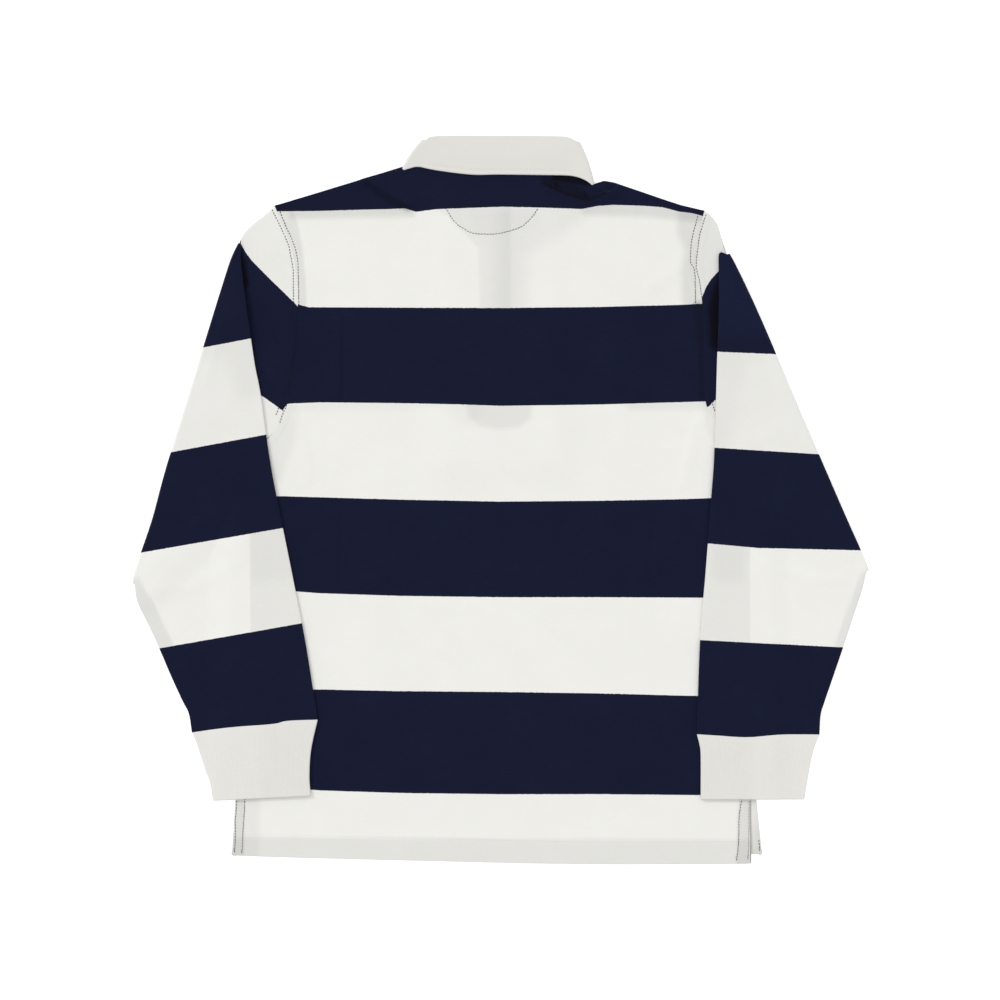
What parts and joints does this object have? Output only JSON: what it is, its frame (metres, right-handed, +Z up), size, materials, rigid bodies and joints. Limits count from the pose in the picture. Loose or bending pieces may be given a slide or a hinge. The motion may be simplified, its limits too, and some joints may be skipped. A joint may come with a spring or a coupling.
{
  "type": "long-sleeved polo shirt",
  "caption": "Long-sleeved striped polo shirt, laid flat on its front with its sleeves folded over on the body, for dressing a shelf, bed, table or shop display.",
  "frame": {"origin": "on the surface the shirt lies on, under the middle of its box", "axes": "+Z up out of the surface, +Y from the hem to the collar, +X to the right of someone who looks down on the shirt's back"},
  "size_m": [0.767, 0.7654, 0.0099],
  "materials": {
    "striped_jersey": "heavy cotton jersey, knitted in wide off-white and navy bands, matt",
    "white_rib": "off-white knitted cotton rib, matt",
    "white_woven_cotton": "off-white woven cotton twill, matt",
    "button_plastic": "off-white moulded buttons"
  },
  "bodies": {
    "root": {"front": "striped_jersey", "back": "striped_jersey", "sleeve_left": "striped_jersey", "sleeve_right": "striped_jersey", "cuff_left": "white_rib", "cuff_right": "white_rib", "collar": "white_woven_cotton", "neck_band": "white_woven_cotton", "placket": "striped_jersey", "button_1": "button_plastic", "button_2": "button_plastic", "button_3": "button_plastic"}
  },
  "joints": []
}
